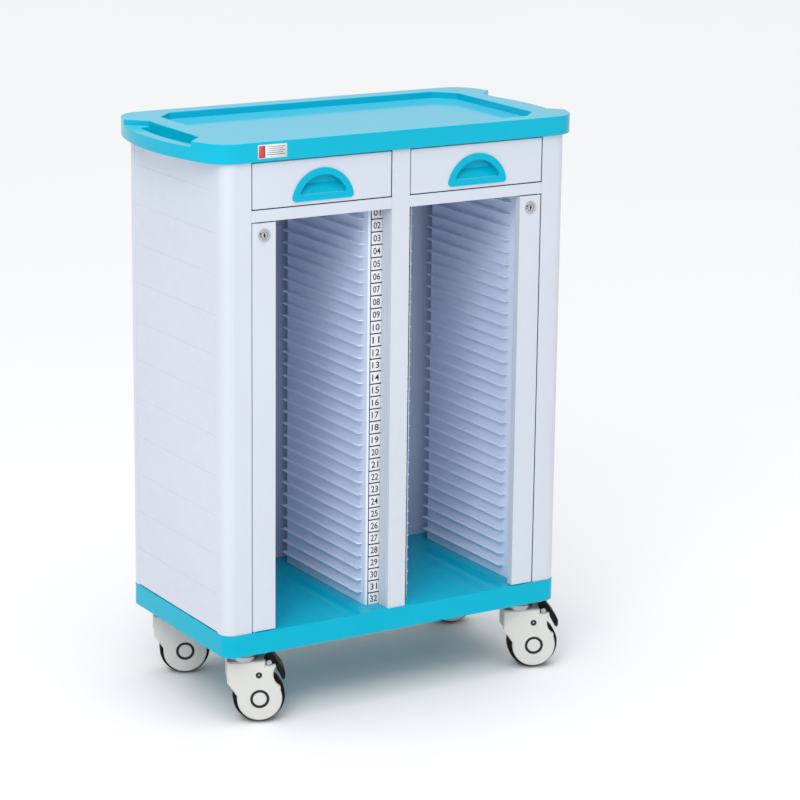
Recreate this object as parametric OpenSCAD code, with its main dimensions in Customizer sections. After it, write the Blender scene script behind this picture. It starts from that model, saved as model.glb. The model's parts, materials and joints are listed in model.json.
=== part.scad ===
// Patient chart trolley: two bays of slots under two drawers, a moulded tray on top
// and a moulded base on four braked or plain swivel casters.
// Origin on the floor under the middle of the body. +X to the right, +Y to the back, +Z up.

/* [Body] */
// Width of the body across the corner posts
body_w = 750; // [740:2:790]
// Depth of the body, front plane to back plane
body_d = 400; // [390:2:430]
// Height of the caster mounting face above the floor
caster_mount_h = 144; // [144:1:160]
// Height of the moulded base
base_h = 43; // [40:1:60]
// Outer radius of the base's vertical corners
base_r = 26; // [20:1:30]
// Outer radius of the corner posts
post_r = 24; // [18:1:28]
// Width of a corner post seen from the front
post_w = 57; // [50:1:60]
// Depth of a corner post seen from the side
post_side = 33; // [30:1:40]
// Width of the centre post
mid_post_w = 39; // [36:1:44]
// Height of a board in the side and back panels
board_h = 77; // [70:1:90]

/* [Bays] */
// Clear height of the bays
bay_h = 790; // [700:10:860]
// Number of slots in each rack
slot_count = 32; // [20:1:34]
// Distance of the inner racks' faces from the middle of the trolley
rack_in_x = 48; // [46:1:50]
// Distance of the outer racks' faces from the middle of the trolley
rack_out_x = 288; // [280:1:292]
// Reach of a rib from its rack
rib_reach = 12; // [8:1:18]
// Thickness of a rib
rib_t = 2.2; // [1.6:0.2:3]
// Radius of a rib's front corner
rib_corner_r = 6; // [2:1:8]

/* [Drawers] */
// Height of the rails under the drawers
rail_h = 22; // [18:1:26]
// Height of a drawer front
drawer_front_h = 85.5; // [80:0.5:90]
// Travel of a drawer
drawer_travel = 300; // [200:10:320]
// Width of a drawer pull
pull_w = 130; // [110:2:140]
// Height of a drawer pull
pull_h = 60; // [50:1:66]

/* [Lock bars] */
// Width of a lock bar
bar_w = 48.3; // [46:0.1:50]
// Radius of a lock's face
lock_face_r = 12; // [11:0.5:13]

/* [Tray] */
// Half width of the tray at the middle of its curved sides
tray_half_w = 428; // [422:1:435]
// Radius of the tray's curved sides
tray_side_r = 520; // [500:10:600]
// Radius of the tray's corners
tray_corner_r = 60; // [40:2:70]
// Overhang of the tray in front of the body
tray_over = 7; // [4:1:12]
// Overhang of the tray behind the body
tray_over_back = 12; // [4:1:14]
// Height of the tray
tray_h = 37; // [34:1:42]
// Depth of the recess in the tray
recess_h = 14; // [10:1:16]
// Width of the rim in front of the recess and behind it
tray_rim = 33; // [26:1:40]
// Half width of the recess
recess_half_w = 334; // [300:1:336]

/* [Casters] */
// Radius of a wheel
wheel_r = 50; // [50:0.5:50.5]
// Horizontal distance from a swivel axis to its wheel's axle
trail = 29.5; // [28:0.5:31]
// Distance of a swivel axis from the side of the body
swivel_in_x = 61; // [58:1:66]
// Distance of a swivel axis from the front or back of the body
swivel_in_y = 44; // [44:1:48]
// Angle of the casters about their swivel axes, from the X axis towards the front
caster_turn = 24; // [0:1:40]
// Half width of a caster over its covers
cover_half = 29.8; // [29:0.1:31]

/* [Hidden] */
$fn = 64;

// Colours
cyan = [0.05, 0.68, 0.82];
off_white = [0.88, 0.90, 0.94];
rack_white = [0.80, 0.84, 0.94];
caster_white = [0.86, 0.87, 0.85];
steel = [0.62, 0.64, 0.67];
dark = [0.10, 0.10, 0.12];

// Main levels and planes
front = -body_d / 2;
back = body_d / 2;
side = body_w / 2;
base_top = caster_mount_h + base_h;
rail_z = base_top + bay_h;
rail_top = rail_z + rail_h;
drawer_z = rail_top + 2;
tray_z = drawer_z + drawer_front_h + 2.5;
tray_top = tray_z + tray_h;

// Clear width of a bay between the centre post and a corner post
open_in = mid_post_w / 2;
open_out = side - post_w;
sheet = 2;
rail_depth = 22;
mid_post_y = front + 34;
liner_x = open_out - sheet;
part_half = 3;
wall_y = back - 5;

// Joints between the boards
joint_half = 0.6;
joint_levels = [for (z = base_top + board_h; z < tray_z - 20; z = z + board_h) z];

// Slides
slide_t = 12.7;
slide_len = 350;
slide_y = front + 20;
slide_z = drawer_z + 42;
slide_h = 42;
spacer_x = part_half + 0.2;
slide_gauge = 1.4;
slide_gap = 1;
mid_h = slide_h - 2 * slide_gauge - 2 * slide_gap;
inner_h = mid_h - 2 * slide_gauge - 2 * slide_gap;

// Drawers
drawer_gap = 2;
front_t = 16;
box_in = open_in + slide_t;
box_out = liner_x - slide_t;
box_z = drawer_z + 5;
box_h = 72;
box_len = 344;
pull_cx = (open_in + open_out) / 2;
pull_z = drawer_z + 7;
pull_proud = 2.5;
pull_r = ((pull_w / 2) * (pull_w / 2) + 53 * 53) / (2 * 53);
pull_drop = pull_r - pull_h;
pull_band = 12.5;
bowl_wall = 2;

// Lock bars
bar_out = open_out - 1.7;
bar_cx = bar_out - bar_w / 2;
bar_depth = 16;
bar_gauge = 1.5;
bar_z0 = base_top + 2;
bar_z1 = rail_z - 2;
pivot_x = open_out - 6;
pivot_y = front + 4;
pin_r = 2;
run_gap = 0.05;
lock_z = rail_z - 25;
barrel_r = 9.5;
plug_r = 7;
cam_y = front + rail_depth + 1;
cam_t = 2.5;
cam_len = 38;

// Racks
slot_pitch = bay_h / slot_count;
rack_y0 = front + 37;
rack_y1 = back - 48;
rib_in_y0 = rack_y0 + 14;
rib_out_y0 = rack_y0 + 23;
rack_wall_t = 2.5;
rack_r = 4;
label_in = 16;
label_t = 0.6;

// Casters
swivel_x = side - swivel_in_x;
swivel_y = back - swivel_in_y;
plate_w = 78;
plate_t = 3;
bolt_x = 30;
bolt_hole_r = 4.2;
race_z = caster_mount_h - plate_t - 7;
cover_top = 75;
hub_hole_r = 18.6;
axle_r = 4;
tyre_half = 16;
cheek_in = 18;
rod_x = 18;
rod_z = 73;
rod_r = 5;
rivet_x = -1.6;
rivet_z = 48;
stem_r = 6;

// Draws its children on the left (-1) or right (1) side
module on_side(s) {
  if (s > 0) children();
  else mirror([1, 0, 0]) children();
}

module on_both() {
  on_side(1) children();
  on_side(-1) children();
}

// Upright plate or block from x0 to x1, y0 to y1, z0 to z1
module block(x0, x1, y0, y1, z0, z1) {
  translate([x0, y0, z0]) cube([x1 - x0, y1 - y0, z1 - z0]);
}

// Rectangle w by d with one round corner at (w, 0)
module round_corner(w, d, r) {
  translate([0, r]) square([w, d - r]);
  square([w - r, d]);
  intersection() {
    translate([w - r, r]) circle(r);
    translate([w - r, 0]) square(r);
  }
}

// Rounded rectangle about the origin
module round_rect(w, d, r) {
  square([w - 2 * r, d], center = true);
  square([w, d - 2 * r], center = true);
  for (x = [-1, 1], y = [-1, 1]) translate([x * (w / 2 - r), y * (d / 2 - r)]) circle(r);
}

// ---- Base ----

module base_tray() {
  wall = 4;
  color(cyan) difference() {
    translate([0, 0, caster_mount_h]) linear_extrude(base_h) round_rect(body_w, body_d + 6, base_r);
    translate([0, 0, caster_mount_h - 1]) linear_extrude(base_h - wall + 1)
      round_rect(body_w - 2 * wall, body_d + 6 - 2 * wall, base_r - wall);
  }
}

module base_frame() {
  tube = 30;
  z0 = caster_mount_h + 4;
  z1 = base_top - 4.2;
  color(steel) {
    for (y = [-1, 1]) {
      block(-swivel_x - 40, swivel_x + 40, y * swivel_y - tube / 2, y * swivel_y + tube / 2, z0, z1);
      for (x = [-1, 1]) difference() {
        translate([x * swivel_x, y * swivel_y, caster_mount_h])
          linear_extrude(4) square(plate_w + 4, center = true);
        for (i = [-1, 1], j = [-1, 1])
          translate([x * swivel_x + i * bolt_x, y * swivel_y + j * bolt_x, caster_mount_h - 1])
            cylinder(h = 6, r = bolt_hole_r);
      }
    }
    for (x = [-swivel_x, 0, swivel_x])
      block(x - tube / 2, x + tube / 2, -swivel_y + tube / 2, swivel_y - tube / 2, z0, z1);
  }
}

module caster_plates() {
  color(steel) for (x = [-1, 1], y = [-1, 1]) translate([x * swivel_x, y * swivel_y, 0]) {
    difference() {
      translate([0, 0, caster_mount_h - plate_t]) linear_extrude(plate_t) round_rect(plate_w, plate_w, 8);
      for (i = [-1, 1], j = [-1, 1])
        translate([i * bolt_x, j * bolt_x, caster_mount_h - plate_t - 1])
          cylinder(h = plate_t + 2, r = bolt_hole_r);
    }
    translate([0, 0, race_z]) cylinder(h = 7, r = 27);
    translate([0, 0, cover_top + wheel_r - 8]) cylinder(h = race_z - cover_top - wheel_r + 8, r = stem_r);
  }
}

module caster_bolts() {
  color(steel) for (x = [-1, 1], y = [-1, 1], i = [-1, 1], j = [-1, 1])
    translate([x * swivel_x + i * bolt_x, y * swivel_y + j * bolt_x, caster_mount_h - plate_t]) {
      cylinder(h = 12, r = 4);
      translate([0, 0, -1.5]) cylinder(h = 1.5, r = 7);
      translate([0, 0, plate_t + 4]) cylinder(h = 5, r = 7, $fn = 6);
    }
}

// ---- Body ----

// Hollow corner post, drawn for the front right corner
module corner_post() {
  wall = 2.5;
  color(off_white) translate([open_out, front, base_top]) linear_extrude(tray_z - base_top) difference() {
    round_corner(post_w, post_side, post_r);
    translate([wall, wall]) round_corner(post_w - 2 * wall, post_side - 2 * wall, post_r - wall);
  }
}

module front_left_post() { mirror([1, 0, 0]) corner_post(); }
module front_right_post() { corner_post(); }
module rear_left_post() { rotate([0, 0, 180]) corner_post(); }
module rear_right_post() { mirror([0, 1, 0]) corner_post(); }

// Folded post with a shallow seam down each side, where its front cover ends
module centre_post() {
  wall = 2.5;
  seam = 0.9;
  color(off_white) difference() {
    block(-open_in, open_in, front, mid_post_y, base_top, tray_z);
    block(-open_in + wall, open_in - wall, front + wall, mid_post_y - wall, base_top - 1, tray_z + 1);
    on_both() block(open_in - seam, open_in + 1, front + 3, front + 5, base_top - 1, rail_z);
  }
}

module centre_partition() {
  color(off_white) block(-part_half, part_half, mid_post_y, wall_y, base_top, tray_z);
}

// Side panel of wide boards, with a shallow groove at each joint between them
module side_panel() {
  y0 = front + post_side + 0.5;
  color(off_white) difference() {
    block(side - 4.5, side - 0.5, y0, -y0, base_top + 2.5, tray_z);
    for (z = joint_levels) block(side - 0.9, side, y0 - 1, -y0 + 1, z - joint_half, z + joint_half);
  }
}

module left_side_panel() { mirror([1, 0, 0]) side_panel(); }
module right_side_panel() { side_panel(); }

// Back panel of the same boards, grooved on both faces
module back_panel() {
  color(off_white) difference() {
    block(-open_out + 0.5, open_out - 0.5, wall_y + 0.2, back - 0.5, base_top, tray_z);
    for (z = joint_levels, y = [wall_y - 0.2, back - 0.9])
      block(-side, side, y, y + 0.9, z - joint_half, z + joint_half);
  }
}

module rear_foot_strip() {
  color(off_white) on_both()
    block(part_half + 0.2, liner_x - 0.2, wall_y - 4, wall_y, base_top, base_top + 18);
}

module bay_liners() {
  color(off_white) on_both() block(liner_x, open_out, mid_post_y, wall_y, base_top, tray_z);
}

module cross_rails() {
  wall = 2;
  color(off_white) on_both() difference() {
    block(open_in, open_out, front, front + rail_depth, rail_z, rail_top);
    block(open_in - 1, open_out + 1, front + wall, front + rail_depth - wall,
          rail_z + wall, rail_top - wall);
  }
}

module drawer_deck() {
  color(off_white) on_both()
    block(spacer_x, liner_x - 0.2, mid_post_y + 0.2, wall_y, rail_z + 2, rail_z + 6);
}

// ---- Racks ----

// Upright channel behind the ribs: its front flange and its face, with a round corner between them
module rack_channel(face_x, back_x) {
  w = abs(face_x - back_x);
  dir = face_x > back_x ? 1 : -1;
  color(rack_white) translate([back_x, rack_y0, base_top]) mirror([dir < 0 ? 1 : 0, 0, 0])
    linear_extrude(bay_h) difference() {
      round_corner(w, rack_y1 - rack_y0, rack_r);
      translate([-1, rack_wall_t])
        round_corner(w - rack_wall_t + 1, rack_y1 - rack_y0, rack_r - rack_wall_t);
    }
}

module rack_walls() {
  on_both() {
    rack_channel(rack_in_x, spacer_x);
    rack_channel(rack_out_x, liner_x - 0.2);
  }
}

// Ribs on both racks of a bay, each a ledge with a round front corner on its free side
module bay_ribs() {
  color(rack_white) on_both() for (i = [1:slot_count - 1])
    translate([0, 0, base_top + i * slot_pitch - rib_t / 2]) linear_extrude(rib_t) {
      translate([rack_in_x, rib_in_y0])
        round_corner(rib_reach, rack_y1 - rib_in_y0, rib_corner_r);
      translate([rack_out_x, rib_out_y0]) mirror([1, 0])
        round_corner(rib_reach, rack_y1 - rib_out_y0, rib_corner_r);
    }
}

// Printed strips of slot numbers on the front flanges of the inner racks
module label_strips() {
  color("white") on_both()
    block(label_in, rack_in_x - rack_r, rack_y0 - label_t, rack_y0, base_top + 1, rail_z - 1);
}

// ---- Tray ----

// Outline of the tray, moved inwards by inset: straight front and back, curved sides, round corners
module tray_outline(inset) {
  half_d = (body_d + tray_over + tray_over_back) / 2;
  cx = tray_half_w - tray_side_r;
  cy = half_d - tray_corner_r;
  kx = cx + sqrt(pow(tray_side_r - tray_corner_r, 2) - cy * cy);
  far = [cx + (kx - cx) * 2, cy * 2];
  translate([0, (tray_over_back - tray_over) / 2]) {
    square([2 * kx, 2 * (half_d - inset)], center = true);
    for (s = [0, 1]) mirror([s, 0]) {
      for (y = [-1, 1]) translate([kx, y * cy]) circle(tray_corner_r - inset, $fn = 96);
      intersection() {
        translate([cx, 0]) circle(tray_side_r - inset, $fn = 180);
        polygon([[cx, 0], [far[0], -far[1]], [far[0], far[1]]]);
      }
    }
  }
}

// Plan of the recess: a rectangle with cut corners
module recess_plan(grow) {
  cut = 38;
  x = recess_half_w + grow;
  y = body_d / 2 + tray_over - tray_rim + grow;
  polygon([[-x + cut, -y], [x - cut, -y], [x, -y + cut], [x, y - cut],
           [x - cut, y], [-x + cut, y], [-x, y - cut], [-x, -y + cut]]);
}

module top_tray() {
  slot_in = 375;
  slot_half = 100;
  flare = 45;
  grip = 24;
  grip_drop = 11;
  color(cyan) difference() {
    translate([0, 0, tray_z]) linear_extrude(tray_h) tray_outline(0);
    translate([0, 0, tray_top - recess_h]) linear_extrude(recess_h + 1) recess_plan(0);
    translate([0, 0, tray_z - 1]) linear_extrude(tray_h - recess_h - 4 + 1)
      square([2 * (open_out - 2), body_d - 2 * (post_side + 7)], center = true);
    on_both() {
      translate([slot_in, 0, tray_top - grip_drop]) linear_extrude(grip_drop + 1)
        polygon([[0, -slot_half - 3], [flare, -slot_half - 3 - flare], [2 * flare, -slot_half - 3 - flare],
                 [2 * flare, slot_half + 3 + flare], [flare, slot_half + 3 + flare], [0, slot_half + 3]]);
      intersection() {
        block(slot_in, tray_half_w, -slot_half, slot_half, tray_z - 1, tray_top);
        translate([tray_half_w - tray_side_r, 0, tray_z - 1])
          cylinder(h = tray_h + 1, r = tray_side_r - grip, $fn = 180);
      }
    }
  }
}

// ---- Slides ----

// Slide section: web at u0, flanges reaching to u1, height h, in x-z, extruded along y
module slide_channel(u0, u1, h) {
  g = slide_gauge;
  flip = u1 < u0;
  translate([u0, slide_y, slide_z]) mirror([flip ? 1 : 0, 0, 0]) {
    block(0, g, 0, slide_len, -h / 2, h / 2);
    for (z = [-h / 2, h / 2 - g]) block(0, abs(u1 - u0), 0, slide_len, z, z + g);
  }
}

module slide_outer_members() {
  color(steel) on_both() {
    slide_channel(liner_x, liner_x - 9, slide_h);
    slide_channel(open_in, open_in + 9, slide_h);
  }
}

module slide_mids() {
  color(steel) {
    slide_channel(liner_x - 3, liner_x - 10, mid_h);
    slide_channel(open_in + 3, open_in + 10, mid_h);
  }
}

module slide_inners() {
  color(steel) {
    slide_channel(box_out, box_out + 7, inner_h);
    slide_channel(box_in, box_in - 7, inner_h);
  }
}

module left_slide_mids() { mirror([1, 0, 0]) slide_mids(); }
module right_slide_mids() { slide_mids(); }
module left_slide_inners() { mirror([1, 0, 0]) slide_inners(); }
module right_slide_inners() { slide_inners(); }

module slide_spacers() {
  wall = 2;
  color(steel) on_both() difference() {
    block(spacer_x, open_in, front + 40, back - 30, slide_z - 25, slide_z + 25);
    block(spacer_x + wall, open_in - wall, front + 39, back - 29, slide_z - 25 + wall, slide_z + 25 - wall);
  }
}

// ---- Drawers ----

// Half-moon plan of the pull about its bottom middle, moved inwards by band
module half_moon(band) {
  soft = band > 5 ? 4 : 7;
  offset(r = soft, $fn = 48) offset(delta = -soft) intersection() {
    translate([0, -pull_drop]) circle(pull_r - band, $fn = 96);
    translate([-pull_w, band > 5 ? 12 : band]) square([2 * pull_w, pull_h]);
  }
}

// Stands a plan drawn in x-y upright in x-z, from y0 to y1
module upright(y0, y1) {
  translate([0, y1, 0]) rotate([90, 0, 0]) linear_extrude(y1 - y0) children();
}

module drawer_front() {
  color(off_white) difference() {
    block(open_in + drawer_gap, open_out - drawer_gap, front, front + front_t,
          drawer_z, drawer_z + drawer_front_h);
    translate([pull_cx, 0, pull_z]) upright(front - 1, front + front_t + 1)
      half_moon(pull_band - bowl_wall - 0.2);
  }
}

module drawer_pull() {
  deep = front + front_t - 0.3;
  color(cyan) translate([pull_cx, 0, pull_z]) {
    upright(front - pull_proud, front) difference() {
      half_moon(0);
      half_moon(pull_band);
    }
    difference() {
      upright(front, deep) half_moon(pull_band - bowl_wall);
      upright(front - 1, deep - bowl_wall) half_moon(pull_band);
    }
    intersection() {
      upright(front, deep - bowl_wall) half_moon(pull_band - 0.5);
      translate([-pull_w / 2, 0, 0]) rotate([90, 0, 90]) linear_extrude(pull_w)
        polygon([[front + 1, 11], [deep, 11], [deep, 30], [deep - 2.5, 29]]);
    }
  }
}

module drawer_box() {
  wall = 2;
  color(off_white) difference() {
    block(box_in, box_out, front + front_t, front + front_t + box_len, box_z, box_z + box_h);
    block(box_in + wall, box_out - wall, front + front_t + wall, front + front_t + box_len - wall,
          box_z + wall, box_z + box_h + 1);
  }
}

module left_drawer_front() { mirror([1, 0, 0]) drawer_front(); }
module right_drawer_front() { drawer_front(); }
module left_drawer_box() { mirror([1, 0, 0]) drawer_box(); }
module right_drawer_box() { drawer_box(); }
module left_drawer_pull() { mirror([1, 0, 0]) drawer_pull(); }
module right_drawer_pull() { drawer_pull(); }

// ---- Lock bars ----

module lock_bar() {
  r = 2;
  t = bar_gauge;
  end_t = 3;
  color(off_white) difference() {
    translate([bar_out - bar_w, front, bar_z0]) linear_extrude(bar_z1 - bar_z0) difference() {
      round_corner(bar_w, bar_depth, r);
      translate([t, t]) round_corner(bar_w - 2 * t, bar_depth, r - t);
    }
    translate([bar_cx, front - 1, lock_z]) rotate([-90, 0, 0]) cylinder(h = 4, r = barrel_r + 0.1);
  }
  color(off_white) for (z = [bar_z0, bar_z1 - end_t]) difference() {
    block(bar_out - bar_w + t, bar_out - t, front + t, front + bar_depth, z, z + end_t);
    translate([pivot_x, pivot_y, z - 1]) cylinder(h = end_t + 2, r = pin_r + run_gap);
  }
}

module lock_bar_pins() {
  color(steel) on_both() translate([pivot_x, pivot_y, 0]) {
    translate([0, 0, base_top]) cylinder(h = 7, r = pin_r);
    translate([0, 0, base_top]) cylinder(h = 1.7, r = 3.6);
    translate([0, 0, rail_z - 7]) cylinder(h = 7, r = pin_r);
  }
}

// Draws round lock parts along +Y from the front plane, at the lock's centre
module at_lock() {
  translate([bar_cx, front, lock_z]) rotate([-90, 0, 0]) children();
}

module lock_housing() {
  body_len = rail_depth - 1;
  color("silver") at_lock() difference() {
    union() {
      translate([0, 0, -2]) cylinder(h = 2, r = lock_face_r);
      cylinder(h = body_len, r = barrel_r);
      translate([0, 0, bar_gauge + 0.1]) cylinder(h = 3, r = 13, $fn = 6);
    }
    translate([0, 0, -3]) cylinder(h = body_len + 4, r = plug_r + run_gap);
  }
}

module lock_plug() {
  y_end = cam_y - front + cam_t;
  color("silver") at_lock() {
    difference() {
      translate([0, 0, -1.6]) cylinder(h = y_end + 1.6, r = plug_r);
      translate([-0.7, -4.5, -3]) cube([1.4, 9, 7]);
      translate([0, 0, -3]) cylinder(h = 7, r = 1.6);
    }
    translate([0, 0, y_end - cam_t]) linear_extrude(cam_t) {
      translate([-8, 0]) square([16, cam_len]);
      circle(8);
    }
  }
}

module left_lock_bar() { mirror([1, 0, 0]) lock_bar(); }
module right_lock_bar() { lock_bar(); }
module left_lock_housing() { mirror([1, 0, 0]) lock_housing(); }
module right_lock_housing() { lock_housing(); }
module left_lock_plug() { mirror([1, 0, 0]) lock_plug(); }
module right_lock_plug() { lock_plug(); }

// ---- Casters, each drawn with its hub at the origin, the trail along +X and the axle along Y ----

// Places a caster drawn about its hub: x and y are -1 or 1
module at_caster(x, y) {
  translate([x * swivel_x, y * swivel_y, wheel_r])
    rotate([0, 0, -caster_turn]) translate([trail, 0, 0]) children();
}

// Side view of a cover: round below, a waist above the pedal side and a square shoulder on top
module cover_plan() {
  circle(43);
  difference() {
    polygon([[-43, 6], [-62, 34], [-62, cover_top], [10.5, cover_top], [10.5, 66.5], [30.5, 66.5],
             [30.5, 60], [40, 60], [40, 0], [-43, 0]]);
    translate([56, 48]) circle(30);
    translate([30.5, 58]) square([20, 9]);
  }
}

// A cheek has a thick middle and a stepped outer edge
module cheek() {
  step = 2;
  difference() {
    union() {
      upright(-cover_half + step, -cheek_in) cover_plan();
      upright(-cover_half, -cover_half + step) offset(delta = -step) cover_plan();
    }
    upright(-cover_half - 1, -cover_half + 4.5) circle(hub_hole_r);
    upright(-cover_half - 1, -cheek_in + 1) circle(axle_r + run_gap);
    translate([rivet_x, 0, rivet_z]) {
      upright(-cover_half - 1, -cover_half + 1) circle(6.2);
      upright(-cover_half - 1, -cover_half + 8) circle(3.1);
    }
  }
}

// Cheeks, crown block between them and the snap-in hub caps
module caster_cover() {
  crown = cheek_in + 1;
  color(caster_white) {
    for (s = [0, 1]) mirror([0, s, 0]) {
      cheek();
      upright(-cover_half + 0.8, -cover_half + 3) circle(14);
    }
    difference() {
      union() {
        upright(-crown, crown)
          polygon([[-61, 35], [-61, cover_top], [8, cover_top], [8, 54], [-28, 54], [-48, 35]]);
        upright(-8, 8) polygon([[7, 60], [7, 74], [12, 80], [24, 80], [26, 70], [18, 62]]);
      }
      translate([-trail, 0, cover_top - 9]) cylinder(h = 10, r = 7);
      upright(-9, 9) translate([rod_x, rod_z]) circle(rod_r + run_gap);
      translate([0, -20, 0]) rotate([-90, 0, 0]) cylinder(h = 40, r = wheel_r + 3);
    }
  }
}

// Lower swivel race, axle with its washers, short rivets and the rod of the brake
module caster_steel(braked) {
  color(steel) {
    difference() {
      translate([-trail, 0, cover_top]) cylinder(h = race_z - wheel_r - cover_top - 0.3, r = 29);
      translate([-trail, 0, cover_top - 1]) cylinder(h = 20, r = stem_r + run_gap);
      if (braked) translate([8, -30, cover_top - 1]) cube([30, 60, 20]);
    }
    upright(-cover_half + 4, cover_half - 4) circle(axle_r);
    for (s = [0, 1]) mirror([0, s, 0]) {
      upright(-cover_half + 3, -cover_half + 4.5) circle(hub_hole_r - 0.2);
      translate([rivet_x, 0, rivet_z]) {
        upright(-cover_half, -cover_half + 1) circle(6);
        upright(-cover_half, -cover_half + 8) circle(3);
      }
    }
    if (braked) upright(-cover_half, cover_half) translate([rod_x, rod_z]) circle(rod_r);
  }
}

module wheel_core() {
  color(caster_white) rotate([90, 0, 0]) rotate_extrude()
    polygon([[axle_r + 0.06, -17.5], [12, -17.5], [13, -12], [30, -9], [32, -14], [37.9, -14],
             [37.9, 14], [32, 14], [30, 9], [13, 12], [12, 17.5], [axle_r + 0.06, 17.5]]);
}

module tyre() {
  r = 5;
  color(dark) rotate([90, 0, 0]) rotate_extrude($fn = 96) {
    translate([38, -tyre_half + 2]) square([wheel_r - r - 38, 2 * tyre_half - 4]);
    translate([wheel_r - r - 2, -tyre_half + r]) square([r + 2, 2 * (tyre_half - r)]);
    for (s = [-1, 1]) translate([wheel_r - r, s * (tyre_half - r)]) circle(r, $fn = 32);
  }
}

// Foot pedal: a pad over the trailing side of the wheel, on two ears about the rod
module brake_pedal() {
  color(dark) difference() {
    union() {
      upright(-17, 17)
        polygon([[9, 78], [13, 87], [24, 87], [32, 79], [36, 70], [32, 62], [27, 62], [20, 66]]);
      upright(-24, 24) polygon([[32.7, 76], [38, 69], [45, 60], [49.5, 50], [49.5, 40], [46, 35.5],
                                [43, 38], [38, 49], [33, 57], [32.7, 62]]);
    }
    upright(-8.3, 8.3) polygon([[0, 60], [0, 90], [26, 90], [29, 70], [26, 55]]);
    upright(-20, 20) translate([rod_x, rod_z]) circle(rod_r + run_gap);
    for (i = [0:3]) upright(-25, 25) translate([41.5 + 2.6 * i, 68 - 4.6 * i]) circle(1, $fn = 24);
  }
}

module fl_caster_cover() { at_caster(-1, -1) caster_cover(); }
module fr_caster_cover() { at_caster(1, -1) caster_cover(); }
module rl_caster_cover() { at_caster(-1, 1) caster_cover(); }
module rr_caster_cover() { at_caster(1, 1) caster_cover(); }
module fl_caster_steel() { at_caster(-1, -1) caster_steel(true); }
module fr_caster_steel() { at_caster(1, -1) caster_steel(true); }
module rl_caster_steel() { at_caster(-1, 1) caster_steel(false); }
module rr_caster_steel() { at_caster(1, 1) caster_steel(false); }
module fl_wheel_core() { at_caster(-1, -1) wheel_core(); }
module fr_wheel_core() { at_caster(1, -1) wheel_core(); }
module rl_wheel_core() { at_caster(-1, 1) wheel_core(); }
module rr_wheel_core() { at_caster(1, 1) wheel_core(); }
module fl_tyre() { at_caster(-1, -1) tyre(); }
module fr_tyre() { at_caster(1, -1) tyre(); }
module rl_tyre() { at_caster(-1, 1) tyre(); }
module rr_tyre() { at_caster(1, 1) tyre(); }
module fl_brake_pedal() { at_caster(-1, -1) brake_pedal(); }
module fr_brake_pedal() { at_caster(1, -1) brake_pedal(); }

base_tray();
base_frame();
caster_plates();
caster_bolts();
front_left_post();
front_right_post();
rear_left_post();
rear_right_post();
centre_post();
centre_partition();
left_side_panel();
right_side_panel();
back_panel();
rear_foot_strip();
bay_liners();
cross_rails();
drawer_deck();
rack_walls();
bay_ribs();
label_strips();
top_tray();
lock_bar_pins();
slide_outer_members();
slide_spacers();
left_drawer_front();
left_drawer_box();
left_drawer_pull();
left_slide_inners();
left_slide_mids();
right_drawer_front();
right_drawer_box();
right_drawer_pull();
right_slide_inners();
right_slide_mids();
left_lock_bar();
left_lock_housing();
left_lock_plug();
right_lock_bar();
right_lock_housing();
right_lock_plug();
fl_caster_cover();
fl_caster_steel();
fl_wheel_core();
fl_tyre();
fr_caster_cover();
fr_caster_steel();
fr_wheel_core();
fr_tyre();
rl_caster_cover();
rl_caster_steel();
rl_wheel_core();
rl_tyre();
rr_caster_cover();
rr_caster_steel();
rr_wheel_core();
rr_tyre();
fl_brake_pedal();
fr_brake_pedal();
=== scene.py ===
"""Looks of the patient chart trolley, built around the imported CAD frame. Lengths are in metres."""

import json
import math

import bmesh
import bpy
from mathutils import Matrix, Vector


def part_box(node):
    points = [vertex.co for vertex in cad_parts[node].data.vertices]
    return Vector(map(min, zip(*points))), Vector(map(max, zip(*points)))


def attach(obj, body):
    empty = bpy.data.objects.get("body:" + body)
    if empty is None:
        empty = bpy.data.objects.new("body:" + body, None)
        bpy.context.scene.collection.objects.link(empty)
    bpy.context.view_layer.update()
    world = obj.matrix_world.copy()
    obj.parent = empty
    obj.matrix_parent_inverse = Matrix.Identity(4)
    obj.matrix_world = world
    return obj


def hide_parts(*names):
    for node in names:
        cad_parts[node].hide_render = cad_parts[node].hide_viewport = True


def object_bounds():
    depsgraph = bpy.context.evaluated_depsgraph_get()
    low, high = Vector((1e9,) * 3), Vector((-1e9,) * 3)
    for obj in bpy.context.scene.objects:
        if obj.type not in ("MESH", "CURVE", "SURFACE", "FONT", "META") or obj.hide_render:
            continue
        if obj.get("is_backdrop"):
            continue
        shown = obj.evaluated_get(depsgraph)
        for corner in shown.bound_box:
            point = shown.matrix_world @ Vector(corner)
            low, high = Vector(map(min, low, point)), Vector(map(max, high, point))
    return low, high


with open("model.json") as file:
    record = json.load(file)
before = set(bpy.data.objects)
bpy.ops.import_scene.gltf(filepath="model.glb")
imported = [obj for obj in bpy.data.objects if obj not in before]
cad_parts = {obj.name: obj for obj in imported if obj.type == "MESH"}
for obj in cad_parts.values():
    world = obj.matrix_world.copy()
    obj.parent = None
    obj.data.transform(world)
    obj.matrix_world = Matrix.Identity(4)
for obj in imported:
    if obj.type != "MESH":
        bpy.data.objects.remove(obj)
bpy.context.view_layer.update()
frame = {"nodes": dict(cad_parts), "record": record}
scene = bpy.context.scene
nodes = frame["nodes"]
slot_of = {part["node"]: part["material_slot"] for part in frame["record"]["subparts"]}
body_of = {name: body for body, names in frame["record"]["behaviour"]["bodies"].items() for name in names}

MM = 0.001
SIDES = (("left", -1), ("right", 1))
CASTERS = ("fl", "fr", "rl", "rr")
CASTER_TURN = math.radians(24)  # how far the casters are turned about their swivel axes
SLOTS = 32  # chart slots in a rack


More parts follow.
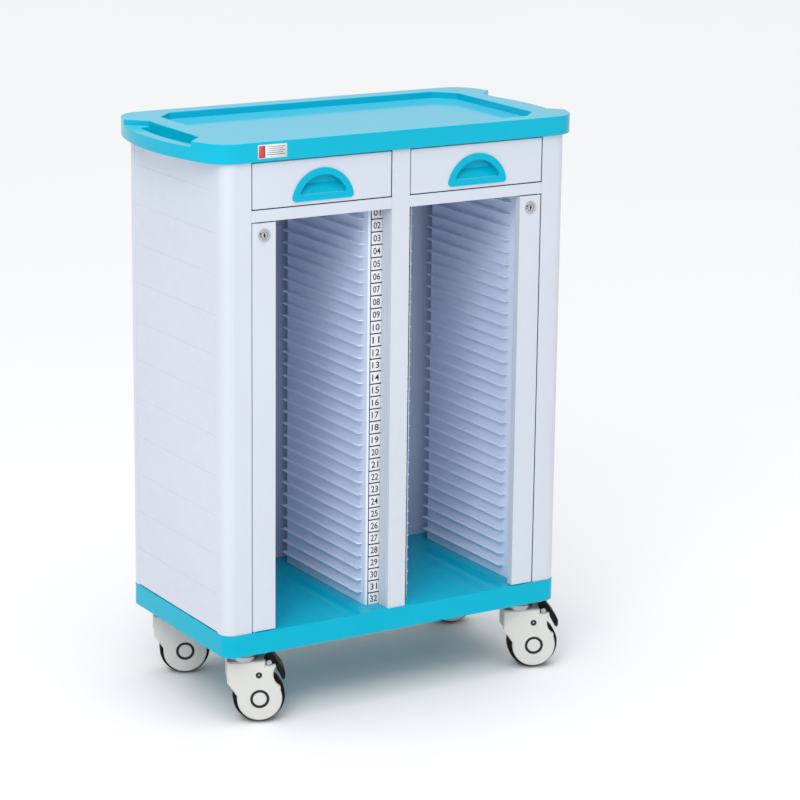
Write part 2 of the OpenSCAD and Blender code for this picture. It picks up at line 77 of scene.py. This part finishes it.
# ---------------------------------------------------------------- materials
class Nodes:
    """A material whose node tree is written in a few lines."""

    NOISE_RANGE = (0.3, 0.7)  # where nearly all values of a noise lie
    COLOUR_A, COLOUR_B, COLOUR_OUT = 6, 7, 2  # the Mix node's colour sockets

    def __init__(self, name):
        self.mat = bpy.data.materials.new(name)
        self.mat.use_nodes = True
        self.tree = self.mat.node_tree
        self.bsdf = self.tree.nodes["Principled BSDF"]
        self.coord = self.new("ShaderNodeTexCoord").outputs["Object"]

    def new(self, kind, **inputs):
        node = self.tree.nodes.new(kind)
        for key, value in inputs.items():
            node.inputs[key.replace("_", " ")].default_value = value
        return node

    def link(self, a, b):
        self.tree.links.new(a, b)

    def noise(self, scale, detail=3.0, rough=0.55, stretch=None):
        """A noise in object space, drawn out along the axes by stretch."""
        noise = self.new("ShaderNodeTexNoise", Scale=scale, Detail=detail, Roughness=rough)
        place = self.coord
        if stretch:
            mapping = self.new("ShaderNodeMapping", Scale=stretch)
            self.link(place, mapping.inputs["Vector"])
            place = mapping.outputs["Vector"]
        self.link(place, noise.inputs["Vector"])
        return noise.outputs["Fac"]

    def remap(self, value, lo, hi, out_lo=0.0, out_hi=1.0):
        """Maps lo to out_lo and hi to out_hi, and holds there."""
        ends = {"From_Min": lo, "From_Max": hi, "To_Min": out_lo, "To_Max": out_hi}
        node = self.new("ShaderNodeMapRange", **ends)
        self.link(value, node.inputs["Value"])
        return node.outputs["Result"]

    def spread(self, noise, out_lo=0.0, out_hi=1.0):
        """Spreads a noise over the whole way from out_lo to out_hi."""
        return self.remap(noise, *self.NOISE_RANGE, out_lo, out_hi)

    def add(self, a, b):
        node = self.new("ShaderNodeMath")
        node.operation = "ADD"
        self.link(a, node.inputs[0])
        self.link(b, node.inputs[1])
        return node.outputs[0]

    def mix(self, factor, a, b):
        """Mixes two colours, each a tuple or another node's output."""
        node = self.new("ShaderNodeMix")
        node.data_type = "RGBA"
        self.link(factor, node.inputs["Factor"])
        for value, socket in ((a, self.COLOUR_A), (b, self.COLOUR_B)):
            if isinstance(value, tuple):
                node.inputs[socket].default_value = value
            else:
                self.link(value, node.inputs[socket])
        return node.outputs[self.COLOUR_OUT]

    def edge(self, lo=0.52, hi=0.62):
        """1 along sharp outer edges, 0 on flat faces."""
        geometry = self.new("ShaderNodeNewGeometry")
        return self.remap(geometry.outputs["Pointiness"], lo, hi)

    def colour(self, value):
        self.link(value, self.bsdf.inputs["Base Color"])

    def roughness(self, value):
        self.link(value, self.bsdf.inputs["Roughness"])

    def bump(self, heights, strength, distance):
        """Lays one bump over another, each with the same strength."""
        normal = None
        for height in heights:
            node = self.new("ShaderNodeBump", Strength=strength, Distance=distance)
            self.link(height, node.inputs["Height"])
            if normal:
                self.link(normal, node.inputs["Normal"])
            normal = node.outputs["Normal"]
        self.link(normal, self.bsdf.inputs["Normal"])

    def set(self, **inputs):
        """Sets the shader's own sockets; an underscore stands for a space."""
        for key, value in inputs.items():
            self.bsdf.inputs[key.replace("_", " ")].default_value = value


def shade(rgb, gain, lift=0.0):
    """A colour made lighter or darker by gain, then lifted towards white."""
    return tuple(min(1, value * gain + lift) for value in rgb) + (1.0,)


def plastic(name, rgb, rough, coat=0.0, peel=0.06, wear=0.25, vary=0.05, dust=0.012, ior=1.5, toward=None):
    """Moulded plastic or paint: soft colour drift, dust specks, orange peel, faint scuffs and rubbed edges.

    toward gives an axis and a second colour, for the faces that look along that axis.
    """
    n = Nodes(name)
    base = n.mix(n.spread(n.noise(2.6)), shade(rgb, 1 - vary), shade(rgb, 1 + vary))
    specks = n.remap(n.noise(45.0, 6.0, 0.7), 0.55, 0.8, 0.0, 0.10)
    base = n.mix(specks, base, shade(rgb, 0.9, dust))
    rubs = n.remap(n.noise(60.0, 4.0), 0.45, 0.7, 0.0, wear)
    base = n.mix(n.edge(), base, n.mix(rubs, base, shade(rgb, 1.03, 4 * dust)))
    if toward:
        axis, second = toward
        facing = n.new("ShaderNodeSeparateXYZ")
        n.link(n.new("ShaderNodeNewGeometry").outputs["Normal"], facing.inputs["Vector"])
        base = n.mix(n.remap(facing.outputs[axis], 0.6, 0.95), base, second)
    n.colour(base)
    scuffs = n.remap(n.noise(30.0, 5.0, 0.65, (1.0, 1.0, 9.0)), 0.35, 0.75, rough * 0.88, rough * 1.2)
    n.roughness(n.add(scuffs, n.spread(n.noise(7.0, 4.0), -0.03, 0.04)))
    n.bump([n.noise(180.0, 2.0)], peel, 0.6 * MM)
    n.set(Coat_Weight=coat, Coat_Roughness=0.08, IOR=ior)
    return n.mat


def metal(name, rgb, rough, brushed=(1.0, 1.0, 14.0), vary=0.1, bump=0.05):
    """Plated or bare metal with fine directional brushing and cloudy roughness."""
    n = Nodes(name)
    lines = n.noise(260.0, 3.0, 0.6, brushed)
    cloud = n.noise(18.0, 5.0)
    base = n.mix(n.spread(cloud), shade(rgb, 1 - vary), shade(rgb, 1 + vary * 0.5))
    n.colour(n.mix(n.edge(0.5, 0.6), base, shade(rgb, 1.1, 0.02)))
    n.roughness(n.add(n.spread(lines, rough * 0.8, rough * 1.25), n.spread(cloud, -0.03, 0.05)))
    n.bump([lines], bump, 0.2 * MM)
    n.set(Metallic=1.0)
    return n.mat


def rubber(name, rgb, rough):
    """Matt rubber, filled plastic or ink, with grain, dust and paler worn edges."""
    n = Nodes(name)
    dust = n.remap(n.noise(35.0, 6.0, 0.7), 0.5, 0.75, 0.0, 0.5)
    base = n.mix(dust, shade(rgb, 1.0), shade(rgb, 1.0, 0.012))
    n.colour(n.mix(n.edge(), base, shade(rgb, 1.0, 0.02)))
    n.roughness(n.spread(n.noise(80.0, 4.0), rough * 0.85, min(1.0, rough * 1.15)))
    n.bump([n.noise(900.0), n.noise(120.0, 2.0)], 0.12, 0.3 * MM)
    n.set(IOR=1.2)
    return n.mat


CYAN = (0.0, 0.44, 0.62)
WHITE = (0.62, 0.665, 0.745)
PANEL = (0.615, 0.66, 0.74)
INNER = (0.62, 0.70, 0.90)
RACK = (0.76, 0.84, 1.0)
CASTER = (0.66, 0.66, 0.635)
LABEL = (0.84, 0.86, 0.90)
ZINC = (0.36, 0.37, 0.39)
CHROME = (0.50, 0.51, 0.53)
TYRE = (0.006, 0.006, 0.007)
PEDAL = (0.007, 0.007, 0.008)
GLOSSY = {"peel": 0.05, "wear": 0.12, "vary": 0.03, "dust": 0.002}
SHEEN_CYAN = shade(CYAN, 1.04, 0.085)  # painted reflection: the tray's upward faces are a lighter cyan, standing in for the bright studio's glare on them
MATS = {
    "cyan_plastic": plastic("cyan_plastic", CYAN, 0.11, ior=1.22, **GLOSSY),
    # cyan plastic with a painted reflection, a lighter cyan, on its upward faces
    "tray_plastic": plastic("tray_plastic", CYAN, 0.11, ior=1.28, toward=("Z", SHEEN_CYAN), **GLOSSY),
    "body_white": plastic("body_white", WHITE, 0.34, coat=0.15, peel=0.07, wear=0.2, vary=0.02),
    "drawer_plastic": plastic("drawer_plastic", WHITE, 0.32, coat=0.15, peel=0.05, wear=0.2, vary=0.02),
    "inner_board": plastic("inner_board", INNER, 0.4, peel=0.08, vary=0.02),
    "back_board": plastic("back_board", INNER, 0.4, peel=0.08, vary=0.02, toward=("Y", shade(WHITE, 1.0))),
    "panel_plastic": plastic("panel_plastic", PANEL, 0.38, coat=0.1, peel=0.08, vary=0.02),
    "rack_plastic": plastic("rack_plastic", RACK, 0.32, peel=0.05, wear=0.2, vary=0.02),
    "zinc_steel": metal("zinc_steel", ZINC, 0.3),
    "caster_plastic": plastic("caster_plastic", CASTER, 0.36, coat=0.1, peel=0.05, vary=0.02),
    "tyre_rubber": rubber("tyre_rubber", TYRE, 0.6),
    "lock_chrome": metal("lock_chrome", CHROME, 0.16, brushed=(1, 1, 1), vary=0.05, bump=0.01),
    "pedal_plastic": rubber("pedal_plastic", PEDAL, 0.5),
    "label_white": plastic("label_white", LABEL, 0.42, peel=0.02, vary=0.02),
}
LOOKS = {"top_tray": "tray_plastic", "back_panel": "back_board"}  # nodes with a look of their own: a painted reflection on the tray's upward faces, a white outer face on the back panel
INK = rubber("label_ink", (0.012, 0.012, 0.02), 0.55)
INK_SOFT = rubber("label_ink_soft", (0.09, 0.09, 0.10), 0.6)
RED = plastic("label_red", (0.60, 0.045, 0.03), 0.4, peel=0.02)
GAP = rubber("seam_shadow", (0.03, 0.04, 0.07), 0.8)


def look(node):
    """The material of a CAD node: its record slot's, or its own where one side differs."""
    return MATS[LOOKS.get(node, slot_of[node])]


for name, node in nodes.items():
    node.data.materials.clear()
    node.data.materials.append(look(name))


# ---------------------------------------------------------------- mesh helpers
SHARP_ABOVE = math.radians(35)  # an edge with a greater angle than this isn't smoothed over
ROUND_ABOVE = math.radians(32)  # an edge with a greater angle than this is rounded off
FLAT = math.radians(0.8)  # faces within this angle are one flat face
WELD = 0.01 * MM  # points closer than this are one point
LARGEST_FACE = 8  # corners; a face with more is cut into triangles


def new_object(name, bm, material, body):
    """Turns a bmesh into a piece that rides on a body, smooth apart from its sharp edges."""
    for face in bm.faces:
        face.smooth = True
    for edge in bm.edges:
        edge.smooth = not (len(edge.link_faces) == 2 and edge.calc_face_angle(0.0) > SHARP_ABOVE)
    mesh = bpy.data.meshes.new(name)
    bm.to_mesh(mesh)
    bm.free()
    mesh.materials.append(material)
    piece = bpy.data.objects.new(name, mesh)
    scene.collection.objects.link(piece)
    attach(piece, body)
    return piece


def clean_copy(node):
    """The CAD node's mesh, welded, with its flat faces made whole again."""
    bm = bmesh.new()
    source = nodes[node].data
    verts = [bm.verts.new(v.co) for v in source.vertices]
    for polygon in source.polygons:
        try:
            bm.faces.new([verts[i] for i in polygon.vertices])
        except ValueError:  # the same face is already there
            pass
    bmesh.ops.remove_doubles(bm, verts=bm.verts, dist=WELD)
    bmesh.ops.dissolve_limit(bm, angle_limit=FLAT, verts=bm.verts, edges=bm.edges)
    bmesh.ops.triangulate(bm, faces=[f for f in bm.faces if len(f.verts) > LARGEST_FACE])
    return bm


def rounded(node, radius, segments=3, clamp=True):
    """Stands in for a CAD node with the same shape and softly rounded edges."""
    piece = new_object(node + "_skin", clean_copy(node), look(node), body_of[node])
    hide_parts(node)
    bevel = piece.modifiers.new("edges", "BEVEL")
    bevel.width = radius
    bevel.segments = segments
    bevel.limit_method = "ANGLE"
    bevel.angle_limit = ROUND_ABOVE
    bevel.use_clamp_overlap = clamp
    bevel.harden_normals = True
    bevel.miter_outer = "MITER_ARC"


def box_into(bm, lo, hi):
    """Adds an axis-aligned box to a bmesh."""
    lo, hi = Vector(lo), Vector(hi)
    v = [bm.verts.new((x, y, z)) for x in (lo.x, hi.x) for y in (lo.y, hi.y) for z in (lo.z, hi.z)]
    for quad in ((0, 1, 3, 2), (4, 6, 7, 5), (0, 4, 5, 1), (2, 3, 7, 6), (0, 2, 6, 4), (1, 5, 7, 3)):
        bm.faces.new([v[i] for i in quad])


def turned_rings(bm, centre, axis, profile, sides):
    """Adds a ring of points round the axis for each radius and height of the profile."""
    centre = Vector(centre)
    axis = Vector(axis).normalized()
    u = axis.orthogonal().normalized()
    w = axis.cross(u)
    angles = [2 * math.pi * i / sides for i in range(sides)]
    spokes = [u * math.cos(angle) + w * math.sin(angle) for angle in angles]
    return [
        [bm.verts.new(centre + axis * height + spoke * radius) for spoke in spokes]
        for radius, height in profile
    ]


def skin_between(bm, a, b):
    """Joins two rings of points with a band of faces."""
    for i in range(len(a)):
        j = (i + 1) % len(a)
        bm.faces.new((a[i], a[j], b[j], b[i]))


def disc_into(bm, centre, axis, radius, height, sides=20, socket=0.0):
    """Adds a round head: a short cylinder with a rounded top and an optional blind socket."""
    shoulder = height * 0.55  # the side is straight up to here
    shrink = radius * 0.35  # how much narrower the top is
    steps = 4
    profile = [(radius, 0.0), (radius, shoulder)]
    for i in range(1, steps + 1):
        rise = math.sin(math.radians(90 * i / steps))
        profile.append((radius - shrink * rise, shoulder + (height - shoulder) * rise))
    if socket:
        profile += [(socket, height), (socket, height * 0.35)]
    rings = turned_rings(bm, centre, axis, profile, sides)
    for a, b in zip(rings, rings[1:]):
        skin_between(bm, a, b)
    bm.faces.new(rings[-1])
    bm.faces.new(list(reversed(rings[0])))


def ring_into(bm, centre, axis, inner, outer, height, sides=40):
    """Adds a flat washer with its back on the centre and its face towards the axis."""
    profile = ((inner, 0), (outer, 0), (outer, height), (inner, height))
    rings = turned_rings(bm, centre, axis, profile, sides)
    for k in range(len(rings)):
        skin_between(bm, rings[k], rings[(k + 1) % len(rings)])
    bmesh.ops.recalc_face_normals(bm, faces=bm.faces)


# ---------------------------------------------------------------- rounded stand-ins for visible nodes
rounded("top_tray", 2.2 * MM, 4)
rounded("base_tray", 2.2 * MM, 4)
for post in ("front_left_post", "front_right_post", "rear_left_post", "rear_right_post", "centre_post"):
    rounded(post, 0.9 * MM)
for panel in ("left_side_panel", "right_side_panel", "back_panel"):
    rounded(panel, 0.25 * MM, 2)
rounded("cross_rails", 1.1 * MM)
rounded("rack_walls", 0.7 * MM)
for side, _ in SIDES:
    rounded(f"{side}_drawer_front", 1.2 * MM)
    rounded(f"{side}_drawer_box", 0.5 * MM, 2)
    rounded(f"{side}_drawer_pull", 0.9 * MM)
    rounded(f"{side}_lock_bar", 0.6 * MM, 2)
    rounded(f"{side}_lock_housing", 0.5 * MM)
    rounded(f"{side}_lock_plug", 0.3 * MM, 2)
for caster in CASTERS:
    rounded(f"{caster}_caster_cover", 1.0 * MM)
    rounded(f"{caster}_wheel_core", 0.6 * MM, 2)
for caster in ("fl", "fr"):
    rounded(f"{caster}_brake_pedal", 1.0 * MM)
rounded("bay_ribs", 0.8 * MM, clamp=False)


# ---------------------------------------------------------------- numbers and frames on the label strips
NUMBER_W, NUMBER_H = 15.5 * MM, 13.0 * MM
NUMBER_BOLDER = 0.012  # how far the strokes are thickened, in font units
NUMBER_PROUD = 0.12 * MM
STRIP_X = 30 * MM  # from the trolley's middle to the middle of a strip
CROSS_LINE = 2.4 * MM
SIDE_LINE = 2.0 * MM
CROSS_PROUD, SIDE_PROUD = 0.1 * MM, 0.12 * MM


def span(values):
    """The lowest value and how far it is to the highest."""
    return min(values), max(values) - min(values)


def number_mesh(text):
    """A number standing on the x-y plane, scaled to its size and centred on the origin."""
    curve = bpy.data.curves.new("number", "FONT")
    curve.body = text
    curve.extrude = 0.02  # any depth will do, as it is scaled below
    curve.offset = NUMBER_BOLDER
    curve.resolution_u = 3
    temp = bpy.data.objects.new("number", curve)
    scene.collection.objects.link(temp)
    bpy.context.view_layer.update()
    mesh = bpy.data.meshes.new_from_object(temp.evaluated_get(bpy.context.evaluated_depsgraph_get()))
    bpy.data.objects.remove(temp)
    (x, w), (y, h), (z, d) = (span([v.co[axis] for v in mesh.vertices]) for axis in range(3))
    centre = Vector((x + w / 2, y + h / 2, z))
    scale = (NUMBER_W / w, NUMBER_H / h, NUMBER_PROUD / d, 1)
    mesh.transform(Matrix.Diagonal(scale) @ Matrix.Translation(-centre))
    return mesh


rack_lo, rack_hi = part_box("rack_walls")
pitch = (rack_hi.z - rack_lo.z) / SLOTS
strip_lo, strip_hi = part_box("label_strips")
face_y = strip_lo.y
half_w = strip_hi.x - STRIP_X
to_front = Matrix.Rotation(math.radians(90), 4, "X")
for side, sign in SIDES:
    middle = sign * STRIP_X
    numbers = bmesh.new()
    for k in range(SLOTS):
        mesh = number_mesh(f"{k + 1:02d}")
        mesh.transform(Matrix.Translation((middle, face_y, rack_hi.z - (k + 0.5) * pitch)) @ to_front)
        numbers.from_mesh(mesh)
        bpy.data.meshes.remove(mesh)
    new_object(f"{side}_slot_numbers", numbers, INK, "carcass")
    lines = bmesh.new()
    for k in range(1, SLOTS):
        z = rack_lo.z + k * pitch
        box_into(
            lines,
            (middle - half_w, face_y - CROSS_PROUD, z - CROSS_LINE / 2),
            (middle + half_w, face_y, z + CROSS_LINE / 2),
        )
    for end in (-1, 1):
        x = middle + end * (half_w - SIDE_LINE / 2)
        box_into(
            lines,
            (x - SIDE_LINE / 2, face_y - SIDE_PROUD, rack_lo.z + MM),
            (x + SIDE_LINE / 2, face_y, rack_hi.z - MM),
        )
    new_object(f"{side}_slot_frames", lines, INK, "carcass")


# ---------------------------------------------------------------- blank rating label on the tray's front
LABEL_W, LABEL_H = 60 * MM, 25 * MM
LABEL_FROM_END = 119.5 * MM  # from the tray's left end
LABEL_FROM_TOP = 5.5 * MM
LABEL_PROUD, LABEL_SUNK = 0.3 * MM, 0.5 * MM  # in front of the tray's face and behind it
BORDER = 1.2 * MM  # white border round the red patch
PATCH_END, PATCH_PROUD = 15 * MM, 0.45 * MM
STRIPES, STRIPE_H, STRIPE_PITCH = 5, 1.1 * MM, 3.6 * MM
STRIPE_START, STRIPE_FROM_TOP, STRIPE_PROUD = 18.5 * MM, 4.8 * MM, 0.42 * MM
STRIPE_END = 4 * MM  # the space after a long stripe; a short one ends this much sooner

tray_lo, tray_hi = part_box("top_tray")
x0, z1 = tray_lo.x + LABEL_FROM_END, tray_hi.z - LABEL_FROM_TOP
x1, z0 = x0 + LABEL_W, z1 - LABEL_H
plate = bmesh.new()
box_into(plate, (x0, tray_lo.y - LABEL_PROUD, z0), (x1, tray_lo.y + LABEL_SUNK, z1))
new_object("rating_label", plate, MATS["label_white"], "carcass")
patch = bmesh.new()
box_into(
    patch,
    (x0 + BORDER, tray_lo.y - PATCH_PROUD, z0 + BORDER),
    (x0 + PATCH_END, tray_lo.y, z1 - BORDER),
)
new_object("rating_label_patch", patch, RED, "carcass")
stripes = bmesh.new()
for i in range(STRIPES):
    z = z1 - STRIPE_FROM_TOP - i * STRIPE_PITCH
    end = x1 - STRIPE_END * (1 + i % 2)
    box_into(stripes, (x0 + STRIPE_START, tray_lo.y - STRIPE_PROUD, z), (end, tray_lo.y, z + STRIPE_H))
new_object("rating_label_lines", stripes, INK_SOFT, "carcass")


# ---------------------------------------------------------------- screws in the back panel
SCREW_COLUMNS = (-0.30, -0.10, 0.10, 0.30)
SCREW_ROWS = (0.215, 0.44, 0.66, 0.88, 1.06)
SCREW_R, SCREW_H, SOCKET_R = 3.4 * MM, 1.4 * MM, 1.3 * MM

screws = bmesh.new()
back_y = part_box("back_panel")[1].y
for x in SCREW_COLUMNS:
    for z in SCREW_ROWS:
        disc_into(screws, (x, back_y, z), (0, 1, 0), SCREW_R, SCREW_H, sides=24, socket=SOCKET_R)
new_object("back_panel_screws", screws, MATS["zinc_steel"], "carcass")


# ---------------------------------------------------------------- painted shade of the notches, keyholes and plug gaps on the locks
FORWARD = (0, -1, 0)
LOCK_NOTCH_SHADES = ((-8.8, 3.6, 1.7), (-9.3, -1.4, 1.1))  # painted shade of the notches, dark discs: across and up from the middle, and radius, in mm
NOTCH_SHADE_PROUD = 0.3 * MM
# painted shade: the keyhole's slit and middle are dark pieces standing proud of the plug
KEYHOLE_R, KEYHOLE_PROUD = 2.2 * MM, 0.2 * MM
SLIT_W, SLIT_H, SLIT_PROUD = 2.6 * MM, 7.6 * MM, 0.1 * MM
PLUG_GAP_SHADE = (6.3 * MM, 6.9 * MM, 0.1 * MM)  # painted shade of the gap round the plug, a dark ring: inner and outer radius, and height

for side, _ in SIDES:
    low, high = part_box(f"{side}_lock_housing")
    x, z = (low.x + high.x) / 2, (low.z + high.z) / 2
    notch_shades = bmesh.new()
    for across, up, radius in LOCK_NOTCH_SHADES:
        disc_into(notch_shades, (x + across * MM, low.y, z + up * MM), FORWARD, radius * MM, NOTCH_SHADE_PROUD)
    new_object(f"{side}_lock_notch_shades", notch_shades, INK, f"{side}_bar")
    keyhole_shade = bmesh.new()
    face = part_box(f"{side}_lock_plug")[0].y
    box_into(
        keyhole_shade,
        (x - SLIT_W / 2, face - SLIT_PROUD, z - SLIT_H / 2),
        (x + SLIT_W / 2, face, z + SLIT_H / 2),
    )
    disc_into(keyhole_shade, (x, face, z), FORWARD, KEYHOLE_R, KEYHOLE_PROUD)
    ring_into(keyhole_shade, (x, face, z), FORWARD, *PLUG_GAP_SHADE)
    new_object(f"{side}_keyhole", keyhole_shade, INK, f"{side}_plug")


# ---------------------------------------------------------------- dark strips of painted shade in the gaps round drawers and lock bars
SHADE_STRIP = 0.4 * MM  # thickness of the dark strips of painted shade
SHADE_STRIP_FRONT, SHADE_STRIP_BACK = 0.9 * MM, 14 * MM  # behind the centre post's face
BAR_PIN_CLEAR = 11 * MM  # room for the lock bar's pin beside the corner post

shade_strips = bmesh.new()
post_lo, post_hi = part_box("centre_post")
rail_lo, rail_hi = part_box("cross_rails")
corner_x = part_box("front_right_post")[0].x
bar_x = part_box("right_lock_bar")[0].x
right_shade_strips = (  # x from and to, z from and to
    (post_hi.x, post_hi.x + SHADE_STRIP, rail_hi.z, tray_lo.z),
    (corner_x - SHADE_STRIP, corner_x, rail_hi.z, tray_lo.z),
    (post_hi.x + SHADE_STRIP, corner_x - SHADE_STRIP, rail_hi.z, rail_hi.z + SHADE_STRIP),
    (corner_x - SHADE_STRIP, corner_x, rack_lo.z + SHADE_STRIP, rail_lo.z - SHADE_STRIP),
    (bar_x + MM, corner_x - BAR_PIN_CLEAR, rail_lo.z - SHADE_STRIP, rail_lo.z),
)
for _, sign in SIDES:
    for x0, x1, z0, z1 in right_shade_strips:
        near, far = sorted((sign * x0, sign * x1))
        box_into(shade_strips, (near, post_lo.y + SHADE_STRIP_FRONT, z0), (far, post_lo.y + SHADE_STRIP_BACK, z1))
new_object("gap_shade_strips", shade_strips, GAP, "carcass")


# ---------------------------------------------------------------- black hub rings and rivets of the casters
HUB_RING = (13.2 * MM, 18.55 * MM, 0.8 * MM)  # inner and outer radius, and height
HUB_FACE = 28.6 * MM  # from the wheel's middle to the back of the ring
RIVET_RING = (1.8 * MM, 6.2 * MM, 0.2 * MM)
RIVET_FACE = 29.75 * MM
RIVET_BACK, RIVET_UP = 1.6 * MM, 48 * MM  # from the axle to the rivet

axle = Vector((math.sin(CASTER_TURN), math.cos(CASTER_TURN), 0))
trail = Vector((math.cos(CASTER_TURN), -math.sin(CASTER_TURN), 0))
for caster in CASTERS:
    low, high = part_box(f"{caster}_wheel_core")
    hub = (low + high) / 2
    rivet = hub - trail * RIVET_BACK + Vector((0, 0, RIVET_UP))
    rings = bmesh.new()
    for outward in (-axle, axle):
        ring_into(rings, hub + outward * HUB_FACE, outward, *HUB_RING)
        ring_into(rings, rivet + outward * RIVET_FACE, outward, *RIVET_RING)
    new_object(f"{caster}_hub_rings", rings, INK, f"{caster}_caster")


# ---------------------------------------------------------------- camera
SENSOR_MM, LENS_MM = 36.0, 130.95
CAMERA_AT = (-2.7922, -4.7992, 2.0104)
YAW, PITCH, ROLL = math.radians(31.29), math.radians(14.65), math.radians(0.69)

camera_data = bpy.data.cameras.new("camera")
camera_data.sensor_width = SENSOR_MM
camera_data.lens = LENS_MM
camera_data.clip_start = 0.1
camera_data.clip_end = 200.0
camera = bpy.data.objects.new("camera", camera_data)
scene.collection.objects.link(camera)
ahead = Vector((math.sin(YAW) * math.cos(PITCH), math.cos(YAW) * math.cos(PITCH), -math.sin(PITCH)))
level = Vector((math.cos(YAW), -math.sin(YAW), 0))
upright = level.cross(ahead)
right = level * math.cos(ROLL) + upright * math.sin(ROLL)
up = upright * math.cos(ROLL) - level * math.sin(ROLL)
facing = Matrix((right, up, -ahead)).transposed()
camera.matrix_world = Matrix.Translation(CAMERA_AT) @ facing.to_4x4()
scene.camera = camera


# ---------------------------------------------------------------- floor
FLOOR_HALF = 40.0
FLOOR_TONES = (shade((0.89,) * 3, 1.0), shade((0.91,) * 3, 1.0))

floor_bm = bmesh.new()
bmesh.ops.create_grid(floor_bm, x_segments=1, y_segments=1, size=FLOOR_HALF)
floor_mesh = bpy.data.meshes.new("floor")
floor_bm.to_mesh(floor_mesh)
floor_bm.free()
floor = bpy.data.objects.new("floor", floor_mesh)
scene.collection.objects.link(floor)
floor_finish = Nodes("studio_floor")
floor_finish.colour(floor_finish.mix(floor_finish.noise(0.6), *FLOOR_TONES))
floor_finish.set(Roughness=0.6)
floor_mesh.materials.append(floor_finish.mat)
floor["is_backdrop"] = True


# ---------------------------------------------------------------- lights
def add_light(name, kind, power, direction, place=(0, 0, 0)):
    """A light that shines along a direction."""
    data = bpy.data.lights.new(name, kind)
    data.energy = power
    light = bpy.data.objects.new(name, data)
    scene.collection.objects.link(light)
    light.location = place
    light.rotation_mode = "QUATERNION"
    light.rotation_quaternion = Vector(direction).to_track_quat("-Z", "Y")
    return data


# a very soft distant light, like a lit studio ceiling
ceiling = add_light("ceiling", "SUN", power=1.6, direction=(0.12, 0.16, -1.0))
ceiling.angle = math.radians(70)

# a square softbox high on the front left, aimed at the trolley's middle
KEY_AT, KEY_AIM, KEY_SIZE = Vector((-3.1, -3.3, 3.8)), Vector((0, 0, 0.8)), 2.4
key_light = add_light("key", "AREA", power=105, direction=KEY_AIM - KEY_AT, place=KEY_AT)
key_light.shape = "RECTANGLE"
key_light.size = key_light.size_y = KEY_SIZE

world = bpy.data.worlds.new("studio")
world.use_nodes = True
background = world.node_tree.nodes["Background"]
background.inputs["Color"].default_value = (0.97, 0.985, 1.0, 1)
background.inputs["Strength"].default_value = 0.56
scene.world = world
scene.view_settings.view_transform = "Standard"

low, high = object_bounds()
